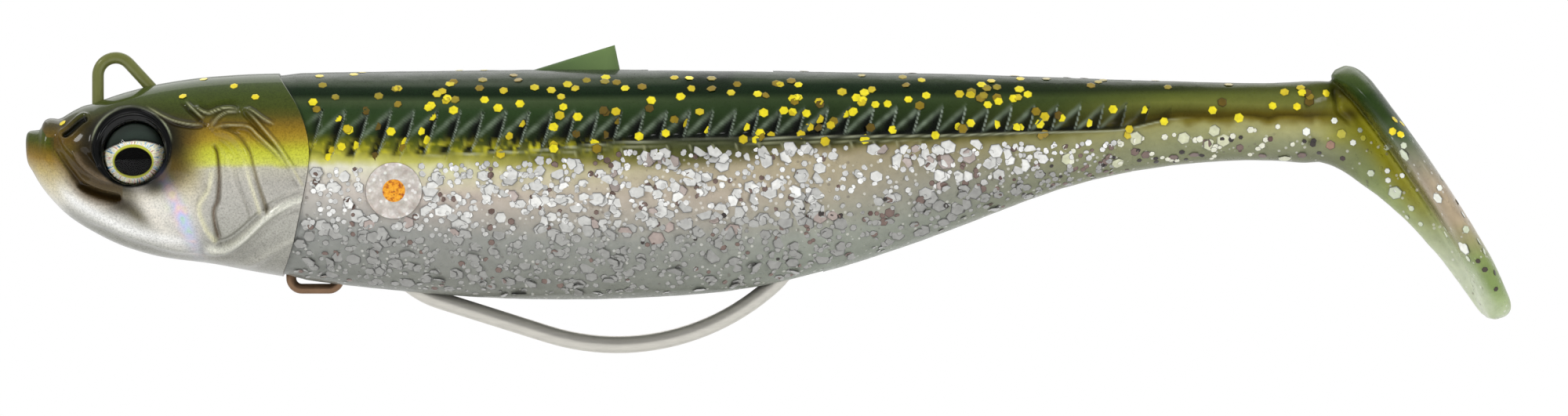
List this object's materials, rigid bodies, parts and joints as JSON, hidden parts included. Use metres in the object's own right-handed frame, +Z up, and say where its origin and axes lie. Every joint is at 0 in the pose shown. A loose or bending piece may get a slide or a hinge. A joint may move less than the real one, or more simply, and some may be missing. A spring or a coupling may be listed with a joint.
{
  "type": "swimbait",
  "caption": "Minnow-shaped soft paddle-tail swimbait on a cast jig head with a hinged weedless hook, wire line tie, belly loop and locking cross pin.",
  "frame": {"origin": "centre of the line-tie loop's arc, on the lure's mid plane", "axes": "+X from the nose to the tail, +Z up out of the back, +Y towards the fish's right side"},
  "size_m": [0.125, 0.0142, 0.026],
  "materials": {
    "head_paint": "glossy clear coat over olive-to-silver paint",
    "tie_wire": "satin olive paint",
    "loop_wire": "dull bronze",
    "hook_steel": "satin nickel",
    "lock_pin": "speckled orange",
    "lock_washer": "clear, milky",
    "eye_foil": "silver foil with a yellow ring and a black pupil",
    "eye_lens": "clear resin dome",
    "fin_plastic": "matt olive green",
    "soft_plastic": "glossy soft plastic, green back over a silver belly, with gold and silver flakes"
  },
  "bodies": {
    "head_body": {"head_casting": "head_paint", "line_tie_wire": "tie_wire", "belly_loop_wire": "loop_wire", "hook_hinge_pin": "hook_steel", "body_lock_pin": "lock_pin", "lock_washer_left": "lock_washer", "lock_washer_right": "lock_washer", "eye_disc_left": "eye_foil", "eye_disc_right": "eye_foil", "eye_lens_left": "eye_lens", "eye_lens_right": "eye_lens", "soft_body": "soft_plastic", "dorsal_fin_root": "fin_plastic"},
    "hook": {"weedless_hook": "hook_steel"},
    "fin": {"dorsal_fin": "fin_plastic"},
    "stem": {"tail_stem": "soft_plastic"},
    "paddle": {"paddle_tail": "soft_plastic"}
  },
  "joints": [
    {"name": "hook_swing", "type": "hinge", "parent": "head_body", "child": "hook", "pos_m": [0.02167, 0, -0.01514], "axis": [0, -1, 0], "range_deg": [-60, 7]},
    {"name": "fin_flex", "type": "hinge", "parent": "head_body", "child": "fin", "pos_m": [0.0387, 0, -0.00015], "axis": [1, 0, 0], "range_deg": [-25, 25], "stiffness_Nm_per_rad": 0.0003},
    {"name": "tail_sway", "type": "hinge", "parent": "head_body", "child": "stem", "pos_m": [0.068, 0, -0.0065], "axis": [0, 0, 1], "range_deg": [-20, 20], "stiffness_Nm_per_rad": 0.007},
    {"name": "tail_kick", "type": "hinge", "parent": "stem", "child": "paddle", "pos_m": [0.0972, 0, -0.0039], "axis": [0, 0, 1], "range_deg": [-35, 35], "stiffness_Nm_per_rad": 0.004}
  ]
}
